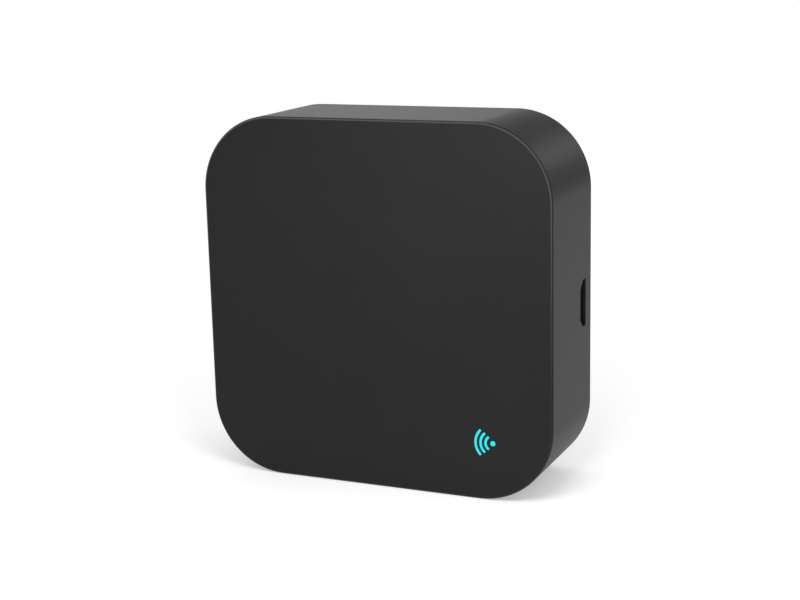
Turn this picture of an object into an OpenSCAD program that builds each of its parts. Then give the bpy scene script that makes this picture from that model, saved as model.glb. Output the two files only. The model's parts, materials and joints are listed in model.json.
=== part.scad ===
// Smart infrared blaster: a small square box that stands upright.
// Each piece is drawn lying on its back in the bench frame, where x runs to the right,
// y runs up the face and the face looks along +z. upright() then stands it on its lower side.
// Depths are measured backwards from the plane of the face.

/* [Body] */
// Width and height of the face
face_w = 66; // [65:0.5:68]
// Depth of the shell from its face to its back edge
body_d = 22; // [22:0.1:22.6]
// Radius of the four outer corners
corner_r = 13.6; // [13:0.1:14.2]
// Radius of the edge round the face
face_edge_r = 0.5; // [0.2:0.05:0.6]
// Radius of the edge round the back
back_edge_r = 0.55; // [0.3:0.05:0.7]
// Thickness of the side walls
wall_t = 2.2; // [2.1:0.05:2.4]
// Thickness of the wall behind the face
face_t = 2; // [1.6:0.1:2.2]

/* [Back cover] */
// Thickness of the cover plate
cover_t = 1.9; // [1.8:0.05:1.95]
// Gap all round the cover
cover_gap = 0.12; // [0.08:0.02:0.2]
// Distance of the snap hooks from the middle of each side
hook_x = 14; // [13:0.5:15]
// Width of a snap hook
hook_w = 5; // [4:0.5:5.5]
// Diameter of a rubber foot
foot_d = 8; // [7:0.5:9]
// How far the feet stand out behind the shell
foot_proud = 0.8; // [0.6:0.1:1]
// Distance of the feet from the middle of the cover, both ways
foot_x = 21; // [20:0.5:21.5]

/* [Reset button] */
// Diameter of the reset button's cap
button_d = 5; // [4.6:0.1:5.4]
// Height of the reset button above the lower side of the box
button_h = 14; // [13.5:0.5:14.5]
// Travel of the reset button
button_travel = 0.3; // [0.2:0.05:0.3]

/* [Lit symbol] */
// Distance of the symbol's dot to the right of the middle of the face
symbol_x = 22.1; // [21:0.1:22.5]
// Distance of the symbol's dot below the middle of the face
symbol_y = 22.6; // [21:0.1:23]
// Radius of the dot
dot_r = 0.5; // [0.4:0.02:0.65]
// Middle radius of the smallest arc
arc_r = 1.36; // [1.3:0.02:1.5]
// Step in radius from one arc to the next
arc_step = 0.92; // [0.85:0.01:0.95]
// Width of the arcs' stroke
arc_stroke = 0.48; // [0.4:0.02:0.64]
// Half angle of the smallest arc
arc_angle = 50; // [50:1:52]
// How much less each larger arc spans, on each side
arc_angle_step = 3.5; // [0:0.5:5]

/* [Power socket] */
// Height of the power slot in the right wall, seen upright
slot_h = 8.4; // [8.4:0.1:9]
// Width of the power slot, from front to back
slot_w = 3; // [2.9:0.05:3.1]
// Depth of the slot's front edge from the face
slot_depth = 15.5; // [15.45:0.05:15.6]
// How far below the middle of the wall the slot and its socket lie
slot_drop = 0.65; // [0.5:0.05:0.8]

/* [Infrared emitters] */
// Diameter of an emitter's lens
led_d = 5; // [4.6:0.1:5]
// Length of an emitter
led_l = 8.6; // [8:0.1:9]
// Distance of the emitters' bases from the middle
led_r = 14; // [13.8:0.1:14.5]

/* [Hidden] */
$fn = 64;

// Overlap that makes a joined or cut shape run past its neighbour
eps = 0.5;

// Levels along the depth
front_z = (body_d + foot_proud) / 2;
rebate_depth = 2;
ledge = body_d - rebate_depth;
cover_back = ledge + cover_t;
board_front = 14.05;
board_t = 1.6;
board_back = board_front + board_t;

// Plan sizes
corner_c = face_w / 2 - corner_r;
inner_half = face_w / 2 - wall_t;
rim_t = 1.2;
inside_r = 0.8;
board_margin = 3;
board_w = face_w - 2 * board_margin;
board_r = 11;
cover_w = face_w - 2 * rim_t - 2 * cover_gap;
cover_r = corner_r - rim_t - cover_gap;

// Board fixings
screw_x = 12.5;
screw_y = 22;
boss_d = 6;
gusset_reach = 1;
gusset_w = boss_d + 2 * gusset_reach;
gusset_h = 4;
gusset_t = 0.9;
screw_d = 1.9;
screw_l = 7.4;
screw_fit = 0.04;
screw_end_gap = 0.4;
screw_head_d = 3.8;
screw_head_h = 1.3;
screw_hole_d = 2.4;
screw_cross = [2.2, 0.5];
screw_cross_h = 0.8;
rib_x = 8;
rib_w = 2;
rib_gap = 0.15;
rib_short = 0.2;

// Snap hooks, their barbs and the pockets in the walls
hook_t = 1.2;
hook_gap = 0.25;
hook_tip = 17;
barb_reach = 0.75;
barb_flat = 0.3;
barb_back = 18.3;
pocket_depth = 0.8;
pocket_l = 1.55;
pocket_gap = 0.4;
pocket_back_gap = 0.05;

// Inside and outside of the cover
skirt_h = 0.8;
skirt_t = 1;
skirt_gap = 0.2;
stiffener = [1, 36];
stiffener_h = 0.9;
stiffener_at = [8, 8];
label_size = [36, 22];
label_at = [0, 4];
label_depth = 0.15;
foot_recess = 1;
foot_gap = 0.05;
foot_rim_r = 0.4;

// Reset button and tactile switch
button_y = button_h - face_w / 2;
button_fit = 0.08;
button_flange_d = 6.6;
button_flange_t = 0.58;
button_flange_gap = 0.02;
button_nub_d = 2.4;
button_proud = 0.2;
collar_d = 9.2;
collar_bore = 7.4;
collar_h = 1.1;
switch_w = 6.2;
switch_base_h = 1.5;
switch_plate_t = 0.25;
switch_plate_inset = 0.1;
switch_h = 2.5;
plunger_d = 3.4;
plunger_fit = 0.05;
plunger_flange_d = 3.8;
plunger_flange_t = 0.3;
plunger_flange_gap = 0.1;
switch_bore = 4.4;
switch_floor = 0.4;
dome_half = 1.9;
dome_t = 0.08;
dome_gap = 0.05;
dome_rise = switch_base_h - plunger_flange_gap - plunger_flange_t - switch_floor - button_travel - dome_gap;
dome_r = (dome_half * dome_half + dome_rise * dome_rise) / (2 * dome_rise);

// Lit symbol and its light guide
pipe_shift = 1.5;
pipe_x = symbol_x - pipe_shift;
pipe_at = [pipe_x, -symbol_y];
pipe_w = 7;
pipe_frame = 0.7;
pipe_t = 1.2;
pipe_fit = 0.03;
guide_d = 3.6;
guide_lift = 1.55;
guide_end = board_front - guide_lift;
baffle_d = 6.2;
baffle_bore = 4.4;
baffle_gap = 0.1;

// Emitters
led_rim = 0.4;
led_rim_d = led_d + 2 * led_rim;
led_rim_t = 1;
led_flat = 0.05;
led_lift = 3.4;
led_axis = board_front - led_lift;
led_angles = [for (k = [0:5]) 30 + 60 * k];
led_stand_off = 0.7;
led_base_7 = board_front - led_stand_off;
lead_t = 0.5;
lead_pitch = 2.54;
lead_bend = 2.2;
lead_r = led_r - lead_bend;
lead_tail = 0.9;
lead_end = board_back + lead_tail;
lead_hole_d = 0.9;
lead_corner = 0.4;
solder_h = 0.7;
solder_d = [0.9, 1.9];

// Infrared receiver
receiver_x = -21;
receiver_w = 5.6;
receiver_l = 6.9;
receiver_t = 2.9;
receiver_lens_r = 2.2;
receiver_lift = 0.3;
receiver_top = board_front - receiver_lift - receiver_t;
receiver_lead_reach = 2;
receiver_lead_y = -receiver_l / 2 - receiver_lead_reach;

// Radio module
wifi_x = -21.65;
wifi_y = 9;
wifi_w = 13.7;
wifi_l = 20;
wifi_t = 0.8;
wifi_shield_w = 12.2;
wifi_shield_h = 1.9;
wifi_pitch = 1.27;
wifi_pad = [0.5, 0.7];
wifi_pad_h = 0.5;
wifi_pad_start = -6.6 * wifi_pitch;
shield_t = 0.2;
shield_inset = 0.8;
shield_y = wifi_y - wifi_l / 2 + shield_inset + wifi_shield_w / 2;
track_w = 0.5;
track_t = 0.06;
track_step = 1.5;
track_run = 4.6;
track_runs = 8;
track_at = [wifi_x - 5.5, wifi_y + 4.2];

// Power socket behind the slot
usb_w = 7.5;
usb_h = 2.5;
usb_l = 5.5;
usb_sheet = 0.3;
usb_chamfer = 1;
usb_set_back = 1.4;
usb_mouth = face_w / 2 - usb_set_back;
usb_inside_x = usb_mouth - usb_l + usb_sheet;
usb_inside_w = usb_w - 2 * usb_sheet;
usb_inside_h = usb_h - 2 * usb_sheet;
usb_foot = [1.1, 1.6];
usb_foot_step = 1.6;
usb_foot_back = 4.5;
usb_foot_out = 0.95;
usb_foot_at = [usb_mouth - usb_foot_back, usb_w / 2 - usb_chamfer + usb_foot_out];
usb_block_l = 1.2;
usb_tongue_l = 2.7;
usb_tongue_w = 4.4;
usb_tongue_t = 0.55;
usb_tongue_h = 1.15;
usb_contact = [2.5, 0.36];
usb_contact_t = 0.08;
usb_contact_pitch = 0.65;

// Power parts and chips: places on the board, then width, height and thickness
regulator_at = [20, 12];
regulator_size = [6.5, 3.5, 1.6];
regulator_reach = 1.6;
regulator_tab_w = 3;
regulator_lead_w = 0.7;
regulator_pitch = 2.3;
capacitor_at = [21.5, 0];
capacitor_r = 3.15;
capacitor_h = 5;
capacitor_base_w = 6.6;
capacitor_base_h = 1;
capacitor_corner = 1.4;
can_edge_r = 0.4;
groove_h = 0.9;
groove_out = 0.25;
groove_r = 0.45;
diode_at = [20.5, -8];
diode_size = [4.3, 2.6, 2];
diode_reach = 1;
diode_lead_w = 1.4;
fuse_at = [20.5, -13];
fuse_size = [4.5, 3.2, 0.8];
transistor_ring = 8;
transistor_size = [1.3, 2.9, 1];
transistor_reach = 0.9;
transistor_lead_w = 0.4;
transistor_pitch = 1.9;
resistor_ring = 5;
resistor_size = [0.8, 1, 0.45];
resistor_end = 0.3;
chip_cap_places = [[15, 16.5], [24.5, 16.5], [25.5, 7], [-7, 16], [-6, 3]];
chip_cap_size = [1.2, 1.25, 0.9];
chip_cap_end = 0.4;
chip_lift = 0.1;

// Gull-wing leads: thickness, height above the board, flat at the body, slope and bend
gull_t = 0.2;
gull_h = 0.65;
gull_flat = 0.3;
gull_slope = 0.2;
gull_bend = 0.15;

// Status emitter and test pads
status_base = [2, 1.25, 0.35];
status_lens = [1.3, 1.25, 0.45];
test_pad_places = [for (k = [0:3]) [-24 + 2.5 * k, -14]];
test_pad_d = 1.3;

// Stands a piece drawn in the bench frame on its lower side
module upright() {
    translate([0, 0, face_w / 2]) rotate([90, 0, 0]) children();
}

// Extrudes a flat outline from one depth behind the face to another
module slab(d0, d1) {
    translate([0, 0, front_z - d1]) linear_extrude(d1 - d0) children();
}

// Moves a piece to a depth behind the face
module at_depth(d) {
    translate([0, 0, front_z - d]) children();
}

// Flat square-cornered block between two depths
module block(size, d0, d1) {
    slab(d0, d1) square(size, center = true);
}

// Round disc or hole between two depths
module disc(d, d0, d1) {
    slab(d0, d1) circle(d = d);
}

// Block standing on the front of the board, given as width, height and thickness
module on_front(size, lift = 0) {
    block([size[0], size[1]], board_front - lift - size[2], board_front - lift);
}

// Block standing on the back of the board
module on_back(size, lift = 0) {
    block([size[0], size[1]], board_back + lift, board_back + lift + size[2]);
}

// Moves a piece on the board's plan
module plan(p) {
    translate([p[0], p[1], 0]) children();
}

// Repeats a piece in the four quarters, at the same distances from the middle
module quarters(x, y) {
    for (sx = [-1, 1], sy = [-1, 1]) translate([sx * x, sy * y, 0]) children();
}

// Repeats a piece on the four sides
module four_sides() {
    for (k = [0:3]) rotate([0, 0, 90 * k]) children();
}

// Square outline with round corners
module rounded_square(w, r) {
    square([w - 2 * r, w], center = true);
    square([w, w - 2 * r], center = true);
    for (sx = [-1, 1], sy = [-1, 1]) translate([sx * (w / 2 - r), sy * (w / 2 - r)]) circle(r);
}

// What a round edge takes off a square corner
module edge_cut(r) {
    difference() {
        square(r + eps);
        circle(r);
    }
}

// Section of the wall: x outwards from the corner's centre, y forwards from the back edge
module wall_section() {
    difference() {
        square([corner_r, body_d]);
        square([corner_r - wall_t, body_d - face_t - inside_r]);
        square([corner_r - wall_t - inside_r, body_d - face_t]);
        translate([corner_r - wall_t - inside_r, body_d - face_t - inside_r]) circle(inside_r);
        square([corner_r - rim_t, rebate_depth]);
        translate([corner_r - face_edge_r, body_d - face_edge_r]) edge_cut(face_edge_r);
        translate([corner_r - back_edge_r, back_edge_r]) mirror([0, 1]) edge_cut(back_edge_r);
    }
}

// Half of one arc's round end, past the cut at its half angle
module arc_end(r, s) {
    translate([r, 0]) intersection() {
        circle(s / 2);
        translate([-s, 0]) square([2 * s, s]);
    }
}

// One arc of the symbol, opening to the left, with round ends
module symbol_arc(r, s, a) {
    intersection() {
        difference() {
            circle(r + s / 2);
            circle(r - s / 2);
        }
        polygon([[0, 0], 2 * r * [-cos(a), sin(a)], [-2 * r / cos(a / 2), 0], 2 * r * [-cos(a), -sin(a)]]);
    }
    rotate(180 + a) arc_end(r, s);
    mirror([0, 1]) rotate(180 + a) arc_end(r, s);
}

// The generic wireless symbol, with its strokes made wider by grow on each side
module symbol(grow) {
    translate([symbol_x, -symbol_y]) {
        circle(dot_r + grow);
        for (k = [0:2]) {
            symbol_arc(arc_r + k * arc_step, arc_stroke + 2 * grow, arc_angle - k * arc_angle_step);
        }
    }
}

// Six-sided outline of the power slot: x up the box, y backwards
module slot_outline(h, w, chamfer) {
    polygon([
        [-h / 2, w], [h / 2, w], [h / 2, chamfer], [h / 2 - chamfer, 0],
        [-h / 2 + chamfer, 0], [-h / 2, chamfer]
    ]);
}

// Moves the power slot or a piece of the socket down to the level of the slot
module at_slot() {
    plan([0, -slot_drop]) children();
}

// Extrudes such an outline along x, from x0 to x1, starting at a depth behind the face
module along_x(x0, x1, d) {
    at_depth(d) translate([x0, 0, 0]) rotate([0, 90, 0]) linear_extrude(x1 - x0) rotate(-90) children();
}

// One straight side of the shell
module shell_side() {
    side_l = 2 * corner_c;
    translate([corner_c, 0, 0]) rotate([90, 0, 0]) linear_extrude(side_l, center = true) wall_section();
}

module shell_body() {
    at_depth(body_d) four_sides() {
        translate([corner_c, corner_c, 0]) rotate_extrude(angle = 90) wall_section();
        shell_side();
    }
    slab(0, face_t) square(2 * corner_c, center = true);
}

// Boss for a board screw, with gussets at its foot
module screw_boss() {
    disc(boss_d, face_t - eps, board_front);
    for (a = [0, 90]) rotate(a) block([gusset_w, gusset_t], face_t - eps, face_t + gusset_h);
}

// Rib that centres the board, on the right wall
module board_rib() {
    rib_l = inner_half - board_w / 2;
    rib_x0 = board_w / 2 + rib_gap;
    translate([rib_x0 + rib_l / 2, 0, 0]) block([rib_l, rib_w], face_t - eps, board_back - rib_short);
}

// Pocket for a snap hook, in the right wall
module hook_pocket() {
    back = barb_back + pocket_back_gap;
    translate([inner_half, 0, 0]) block([2 * pocket_depth, hook_w + 2 * pocket_gap], back - pocket_l, back);
}

module front_shell() {
    color("#1c1c1f") upright() difference() {
        union() {
            shell_body();
            quarters(screw_x, screw_y) screw_boss();
            four_sides() for (s = [-1, 1]) translate([0, s * rib_x, 0]) board_rib();
            plan(pipe_at) block(pipe_w + 2 * pipe_frame, face_t - eps, face_t + pipe_t);
        }
        plan(pipe_at) block(pipe_w + 2 * pipe_fit, face_t, face_t + pipe_t + eps);
        quarters(screw_x, screw_y) disc(screw_d + screw_fit, board_front - screw_l, board_front + eps);
        four_sides() for (s = [-1, 1]) translate([0, s * hook_x, 0]) hook_pocket();
        at_slot() along_x(inner_half - eps, face_w / 2 + eps, slot_depth) {
            slot_outline(slot_h, slot_w, slot_w / 2);
        }
        slab(-eps, face_t + eps) symbol(pipe_fit);
    }
}

module light_pipe() {
    color("#35f0f0") upright() {
        slab(0, face_t) symbol(0);
        plan(pipe_at) block(pipe_w, face_t, face_t + pipe_t);
        plan(pipe_at) disc(guide_d, face_t + pipe_t, guide_end);
    }
}

module light_baffle() {
    color("#3a3a3d") upright() plan(pipe_at) slab(face_t + pipe_t, board_front - baffle_gap) difference() {
        circle(d = baffle_d);
        circle(d = baffle_bore);
    }
}

// Snap hook on the right side of the cover
module hook() {
    hook_face = inner_half - hook_gap;
    rotate([90, 0, 0]) linear_extrude(hook_w, center = true) translate([hook_face, front_z]) polygon([
        [-hook_t, -ledge - eps], [0, -ledge - eps], [0, -barb_back], [barb_reach, -barb_back],
        [barb_reach, -barb_back + barb_flat], [0, -hook_tip], [-hook_t, -hook_tip]
    ]);
}

// Low wall round the inside of the cover
module skirt() {
    out_w = 2 * (inner_half - skirt_gap);
    out_r = corner_r - wall_t - skirt_gap;
    slab(ledge - skirt_h, ledge + eps) difference() {
        rounded_square(out_w, out_r);
        rounded_square(out_w - 2 * skirt_t, out_r - skirt_t);
    }
}

module back_cover() {
    color("#202023") upright() difference() {
        union() {
            slab(ledge, cover_back) rounded_square(cover_w, cover_r);
            skirt();
            for (s = [-1, 1]) plan([s * stiffener_at[0], stiffener_at[1]]) {
                block(stiffener, ledge - stiffener_h, ledge + eps);
            }
            four_sides() for (s = [-1, 1]) translate([0, s * hook_x, 0]) hook();
            plan([0, button_y]) disc(collar_d, ledge - collar_h, ledge + eps);
        }
        plan([0, button_y]) disc(collar_bore, ledge - collar_h - eps, ledge);
        plan([0, button_y]) disc(button_d + 2 * button_fit, ledge - eps, cover_back + eps);
        plan(label_at) block(label_size, cover_back - label_depth, cover_back + eps);
        quarters(foot_x, foot_x) disc(foot_d + 2 * foot_gap, cover_back - foot_recess, cover_back + eps);
    }
}

// Rubber foot with a round rim at its free face
module rubber_foot(sx, sy) {
    foot_t = body_d + foot_proud - cover_back + foot_recess;
    color("#0c0c0d") upright() translate([sx * foot_x, sy * foot_x, -front_z]) {
        rotate_extrude() difference() {
            square([foot_d / 2, foot_t]);
            translate([foot_d / 2 - foot_rim_r, foot_rim_r]) mirror([0, 1]) edge_cut(foot_rim_r);
        }
    }
}

module rubber_foot_1() rubber_foot(-1, -1);
module rubber_foot_2() rubber_foot(1, -1);
module rubber_foot_3() rubber_foot(-1, 1);
module rubber_foot_4() rubber_foot(1, 1);

module reset_button() {
    flange_back = ledge - button_flange_gap;
    flange_front = flange_back - button_flange_t;
    color("#2b2b2e") upright() plan([0, button_y]) {
        disc(button_d, flange_back, cover_back + button_proud);
        disc(button_flange_d, flange_front, flange_back);
        disc(button_nub_d, board_back + switch_h, flange_front);
    }
}

module switch_plunger() {
    flange_back = board_back + switch_base_h - plunger_flange_gap;
    color("#2a2a2c") upright() plan([0, button_y]) {
        disc(plunger_d, flange_back, board_back + switch_h);
        disc(plunger_flange_d, flange_back - plunger_flange_t, flange_back);
    }
}

module switch_cover() {
    plate_front = board_back + switch_base_h;
    plate_back = plate_front + switch_plate_t;
    color("silver") upright() plan([0, button_y]) slab(plate_front, plate_back) difference() {
        square(switch_w - 2 * switch_plate_inset, center = true);
        circle(d = plunger_d + 2 * plunger_fit);
    }
}

// Section of the spring disc, drawn as it is when the button is pressed
module dome_section() {
    intersection() {
        difference() {
            circle(dome_r, $fn = 128);
            circle(dome_r - dome_t, $fn = 128);
        }
        translate([0, dome_r - dome_rise]) square([dome_half, dome_rise + eps]);
    }
}

module switch_dome() {
    crown = board_back + switch_floor + dome_rise;
    color("#c9ccd1") upright() plan([0, button_y]) at_depth(crown) translate([0, 0, dome_r]) {
        rotate([180, 0, 0]) rotate_extrude() dome_section();
    }
}

module switch_base() {
    color("#151516") upright() plan([0, button_y]) difference() {
        on_back([switch_w, switch_w, switch_base_h]);
        disc(switch_bore, board_back + switch_floor, board_back + switch_base_h + eps);
    }
}

// The centre of each emitter's two leads
module at_led_leads() {
    for (a = led_angles, s = [-1, 1]) rotate(a) plan([lead_r + lead_t / 2, s * lead_pitch / 2]) children();
    for (s = [-1, 1]) plan([s * lead_pitch / 2, 0]) children();
}

// The centres of the receiver's three leads
module at_receiver_leads() {
    for (k = [-1, 0, 1]) plan([receiver_x + k * lead_pitch, receiver_lead_y]) children();
}

module main_board() {
    color("#173a2c") upright() difference() {
        slab(board_front, board_back) rounded_square(board_w, board_r);
        quarters(screw_x, screw_y) disc(screw_hole_d, board_front - eps, board_back + eps);
        at_led_leads() disc(lead_hole_d, board_front - eps, board_back + eps);
        at_receiver_leads() disc(lead_hole_d, board_front - eps, board_back + eps);
    }
}

// Pan-head screw with a cross recess
module board_screw() {
    head_back = board_back + screw_head_h;
    difference() {
        union() {
            disc(screw_d, board_front - screw_l + screw_end_gap, board_back);
            disc(screw_head_d, board_back, head_back);
        }
        for (a = [0, 90]) rotate(a) block(screw_cross, head_back - screw_cross_h, head_back + eps);
    }
}

module board_screws() {
    color("#8b8d90") upright() quarters(screw_x, screw_y) board_screw();
}

// Cone of solder round a lead, behind the board
module solder_cone() {
    difference() {
        at_depth(board_back + solder_h) cylinder(h = solder_h, d1 = solder_d[0], d2 = solder_d[1]);
        block(lead_t, board_back - eps, board_back + solder_h + eps);
    }
}

module solder_joints() {
    color("#c5c8cb") upright() {
        at_led_leads() solder_cone();
        at_receiver_leads() solder_cone();
    }
}

module test_pads() {
    color("#c9a23a") upright() for (p = test_pad_places) {
        plan(p) disc(test_pad_d, board_back, board_back + track_t);
    }
}

// Emitter: base at the origin, lens along +z, with a flat on its rim
module led_body() {
    difference() {
        rotate_extrude() {
            square([led_rim_d / 2, led_rim_t]);
            square([led_d / 2, led_l - led_d / 2]);
            translate([0, led_l - led_d / 2]) intersection() {
                circle(d = led_d);
                square(led_d);
            }
        }
        translate([led_d / 2 + led_flat, -led_d, -eps]) cube([led_d, 2 * led_d, led_rim_t + 2 * eps]);
    }
}

// Emitter lying on the board and looking outwards at one angle
module ir_led(a) {
    color("#3b2a4a") upright() rotate(a) at_depth(led_axis) {
        translate([led_r, 0, 0]) rotate([0, 90, 0]) led_body();
    }
}

module ir_led_1() ir_led(led_angles[0]);
module ir_led_2() ir_led(led_angles[1]);
module ir_led_3() ir_led(led_angles[2]);
module ir_led_4() ir_led(led_angles[3]);
module ir_led_5() ir_led(led_angles[4]);
module ir_led_6() ir_led(led_angles[5]);

module ir_led_7() {
    color("#3b2a4a") upright() at_depth(led_base_7) led_body();
}

// Bent lead: out of the emitter's base, then through the board
module bent_lead() {
    top = front_z - led_axis + lead_t / 2;
    bottom = front_z - lead_end;
    inner_r = lead_r + lead_t;
    rotate([90, 0, 0]) linear_extrude(lead_t, center = true) polygon([
        [led_r, top], [lead_r + lead_corner, top], [lead_r, top - lead_corner], [lead_r, bottom],
        [inner_r, bottom], [inner_r, top - lead_t - lead_corner / 2],
        [inner_r + lead_corner / 2, top - lead_t], [led_r, top - lead_t]
    ]);
}

module ir_led_leads() {
    color("#b9bcc0") upright() {
        for (a = led_angles, s = [-1, 1]) rotate(a) plan([0, s * lead_pitch / 2]) bent_lead();
        for (s = [-1, 1]) plan([s * lead_pitch / 2, 0]) block(lead_t, led_base_7, lead_end);
    }
}

module ir_receiver() {
    color("#141416") upright() plan([receiver_x, 0]) {
        on_front([receiver_w, receiver_l, receiver_t], receiver_lift);
        at_depth(receiver_top) sphere(receiver_lens_r);
    }
}

// One of the receiver's leads, bent down through the board
module receiver_lead() {
    top = front_z - receiver_top - receiver_t / 2 + lead_t / 2;
    bottom = front_z - lead_end;
    tail = receiver_lead_y - lead_t / 2;
    base = -receiver_l / 2;
    rotate([90, 0, 90]) linear_extrude(lead_t, center = true) polygon([
        [base, top - lead_t], [base, top], [tail + lead_corner, top], [tail, top - lead_corner],
        [tail, bottom], [tail + lead_t, bottom], [tail + lead_t, top - lead_t]
    ]);
}

module ir_receiver_leads() {
    color("#b9bcc0") upright() for (k = [-1, 0, 1]) plan([receiver_x + k * lead_pitch, 0]) receiver_lead();
}

module status_led() {
    color("#e8f4f4") upright() plan(pipe_at) {
        on_front(status_base);
        on_front(status_lens, status_base[2]);
    }
}

module wifi_board() {
    color("#14322a") upright() plan([wifi_x, wifi_y]) on_back([wifi_w, wifi_l, wifi_t]);
}

// Shield can, open towards the module's board
module wifi_shield() {
    inside_w = wifi_shield_w - 2 * shield_t;
    color("#b4b7bb") upright() plan([wifi_x, shield_y]) difference() {
        on_back([wifi_shield_w, wifi_shield_w, wifi_shield_h], wifi_t);
        on_back([inside_w, inside_w, wifi_shield_h - shield_t + eps], wifi_t - eps);
    }
}

// Folded aerial track at the free end of the module
module wifi_antenna() {
    link = [track_step + track_w, track_w];
    color("#c9a23a") upright() slab(board_back + wifi_t, board_back + wifi_t + track_t) translate(track_at) {
        for (k = [0:track_runs - 1]) translate([k * track_step, 0]) square([track_w, track_run]);
        for (k = [0:2:track_runs - 2]) translate([k * track_step, track_run - track_w]) square(link);
        for (k = [1:2:track_runs - 3]) translate([k * track_step, 0]) square(link);
    }
}

module wifi_joints() {
    pad_x = (wifi_w + wifi_pad[0]) / 2;
    color("#c5c8cb") upright() plan([wifi_x, wifi_y]) for (s = [-1, 1], k = [0:8]) {
        plan([s * pad_x, wifi_pad_start + k * wifi_pitch]) on_back([wifi_pad[0], wifi_pad[1], wifi_pad_h]);
    }
}

// Outline of the space inside the socket's sheet-metal shell
module usb_inside() {
    slot_outline(usb_inside_w, usb_inside_h, usb_chamfer - usb_sheet / 2);
}

module usb_shell() {
    color("#9fa2a6") upright() at_slot() difference() {
        union() {
            along_x(usb_mouth - usb_l, usb_mouth, board_back) slot_outline(usb_w, usb_h, usb_chamfer);
            for (s = [-1, 1], k = [0, 1]) {
                foot_mid = usb_foot_at[0] + k * usb_foot_step + usb_foot[0] / 2;
                plan([foot_mid, s * usb_foot_at[1]]) on_back([usb_foot[0], usb_foot[1], usb_sheet]);
            }
        }
        along_x(usb_inside_x, usb_mouth + eps, board_back + usb_sheet) usb_inside();
    }
}

module usb_tongue() {
    tongue_x = usb_inside_x + usb_block_l + usb_tongue_l / 2;
    color("#101011") upright() at_slot() {
        along_x(usb_inside_x, usb_inside_x + usb_block_l, board_back + usb_sheet) usb_inside();
        plan([tongue_x, 0]) on_back([usb_tongue_l, usb_tongue_w, usb_tongue_t], usb_tongue_h);
    }
}

module usb_contacts() {
    contact_x = usb_inside_x + usb_block_l + usb_contact[0] / 2;
    color("#c9a23a") upright() at_slot() for (k = [-2:2]) plan([contact_x, k * usb_contact_pitch]) {
        on_back([usb_contact[0], usb_contact[1], usb_contact_t], usb_tongue_h - usb_contact_t);
    }
}

// Gull-wing lead: x out of the body, from the body's middle down to the board
module gull_lead(x0, reach, w) {
    top = gull_h + gull_t;
    translate([x0, 0, 0]) rotate([90, 0, 0]) linear_extrude(w, center = true) polygon([
        [0, gull_h], [0, top], [gull_flat + gull_bend, top], [gull_flat + gull_slope + gull_bend, gull_t],
        [reach, gull_t], [reach, 0], [gull_flat + gull_slope, 0], [gull_flat, gull_h]
    ]);
}

// Turns a piece whose base is at z = 0 so that it stands on the back of the board
module behind_board() {
    at_depth(board_back) mirror([0, 0, 1]) children();
}

module regulator() {
    color("#161618") upright() plan(regulator_at) on_back(regulator_size, chip_lift);
}

module regulator_leads() {
    side = regulator_size[1] / 2;
    color("#b9bcc0") upright() plan(regulator_at) behind_board() {
        rotate(90) gull_lead(side, regulator_reach, regulator_tab_w);
        for (k = [-1, 0, 1]) plan([k * regulator_pitch, 0]) {
            rotate(-90) gull_lead(side, regulator_reach, regulator_lead_w);
        }
    }
}

module capacitor_can() {
    color("#a7aaae") upright() plan(capacitor_at) at_depth(board_front - capacitor_base_h) {
        rotate_extrude() difference() {
            square([capacitor_r, capacitor_h]);
            translate([capacitor_r + groove_out, groove_h]) circle(groove_r);
            translate([capacitor_r - can_edge_r, capacitor_h - can_edge_r]) edge_cut(can_edge_r);
        }
    }
}

module capacitor_base() {
    half = capacitor_base_w / 2;
    color("#141416") upright() plan(capacitor_at) {
        slab(board_front - capacitor_base_h, board_front) difference() {
            square(capacitor_base_w, center = true);
            for (s = [-1, 1]) translate([half, s * half]) rotate(45) square(capacitor_corner, center = true);
        }
    }
}

module diode() {
    color("#161618") upright() plan(diode_at) on_back(diode_size, chip_lift);
}

module diode_leads() {
    color("#b9bcc0") upright() plan(diode_at) behind_board() {
        for (a = [0, 180]) rotate(a) gull_lead(diode_size[0] / 2, diode_reach, diode_lead_w);
    }
}

module fuse() {
    color("#2f5a44") upright() plan(fuse_at) on_back(fuse_size);
}

module transistors() {
    color("#161618") upright() for (a = led_angles) {
        rotate(a) plan([transistor_ring, 0]) on_front(transistor_size, chip_lift);
    }
}

// The three leads of one transistor, on the front of the board
module transistor_lead_set() {
    side = transistor_size[0] / 2;
    gull_lead(side, transistor_reach, transistor_lead_w);
    for (s = [-1, 1]) plan([0, s * transistor_pitch / 2]) {
        rotate(180) gull_lead(side, transistor_reach, transistor_lead_w);
    }
}

module transistor_leads() {
    color("#b9bcc0") upright() at_depth(board_front) {
        for (a = led_angles) rotate(a) plan([transistor_ring, 0]) transistor_lead_set();
    }
}

module chip_resistors() {
    color("#1b1b1d") upright() for (a = led_angles) {
        rotate(a) plan([resistor_ring, 0]) on_front(resistor_size);
    }
}

module chip_capacitors() {
    color("#8d7358") upright() for (p = chip_cap_places) plan(p) on_back(chip_cap_size);
}

// Metal ends of the chip resistors and capacitors
module chip_terminals() {
    resistor_y = (resistor_size[1] + resistor_end) / 2;
    cap_x = (chip_cap_size[0] + chip_cap_end) / 2;
    color("#c5c8cb") upright() {
        for (a = led_angles, s = [-1, 1]) rotate(a) plan([resistor_ring, s * resistor_y]) {
            on_front([resistor_size[0], resistor_end, resistor_size[2]]);
        }
        for (p = chip_cap_places, s = [-1, 1]) plan([p[0] + s * cap_x, p[1]]) {
            on_back([chip_cap_end, chip_cap_size[1], chip_cap_size[2]]);
        }
    }
}

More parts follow.
